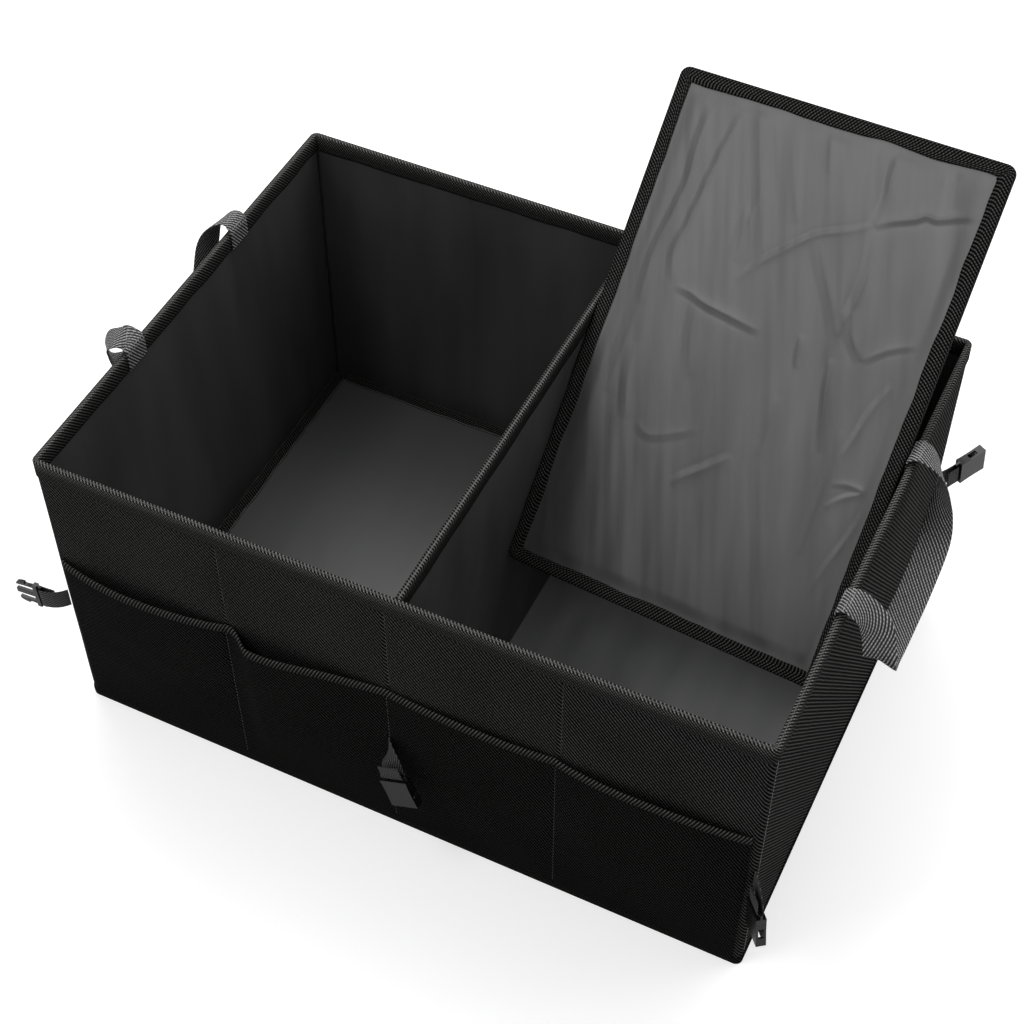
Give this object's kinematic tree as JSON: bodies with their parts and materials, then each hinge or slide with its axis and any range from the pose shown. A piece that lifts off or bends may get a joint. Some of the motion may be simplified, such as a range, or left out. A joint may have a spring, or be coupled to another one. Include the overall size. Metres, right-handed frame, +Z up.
{
  "type": "car trunk organizer",
  "caption": "Collapsible fabric trunk organizer box with two compartments, front pockets, webbing handles, strap stubs with buckle halves, and loose base plates.",
  "frame": {"origin": "middle of the underside, on the surface that the box stands on", "axes": "+X along the width from left to right seen from the pocket side, -Y towards the pocket side, +Z up"},
  "size_m": [0.6991, 0.5254, 0.4699],
  "materials": {
    "outer_fabric": "coarse black woven polyester",
    "stiff_board": "plain grey stiffener board",
    "lining": "smooth dark grey coated lining",
    "plate_cover": "smooth grey coated cloth, creased",
    "binding_tape": "woven grey binding tape",
    "webbing": "woven dark grey webbing",
    "buckle_plastic": "smooth black moulded plastic"
  },
  "bodies": {
    "root": {"outer_front": "outer_fabric", "outer_back": "outer_fabric", "outer_left": "outer_fabric", "outer_right": "outer_fabric", "outer_bottom": "outer_fabric", "pocket_panel": "outer_fabric", "board_front_1": "stiff_board", "board_front_2": "stiff_board", "board_front_3": "stiff_board", "board_front_4": "stiff_board", "board_back_1": "stiff_board", "board_back_2": "stiff_board", "board_back_3": "stiff_board", "board_back_4": "stiff_board", "board_left": "stiff_board", "board_right": "stiff_board", "divider_board": "stiff_board", "base_plate_left_board": "stiff_board", "base_plate_right_board": "stiff_board", "lining_front": "lining", "lining_back": "lining", "lining_left": "lining", "lining_right": "lining", "lining_floor": "lining", "divider_cover": "lining", "base_plate_left_cover": "plate_cover", "base_plate_right_cover": "plate_cover", "rim_binding": "binding_tape", "bottom_binding": "binding_tape", "divider_binding": "binding_tape", "pocket_binding": "binding_tape", "base_plate_left_binding": "binding_tape", "base_plate_right_binding": "binding_tape", "handle_left": "webbing", "handle_right": "webbing", "front_left_strap": "webbing", "back_left_strap": "webbing", "back_right_strap": "webbing", "front_right_strap": "webbing", "front_centre_strap": "webbing", "back_centre_strap": "webbing", "front_left_buckle_male": "buckle_plastic", "back_left_buckle_male": "buckle_plastic", "back_centre_buckle_male": "buckle_plastic", "back_right_buckle_female": "buckle_plastic", "front_right_buckle_female": "buckle_plastic", "front_centre_buckle_female": "buckle_plastic"}
  },
  "joints": []
}
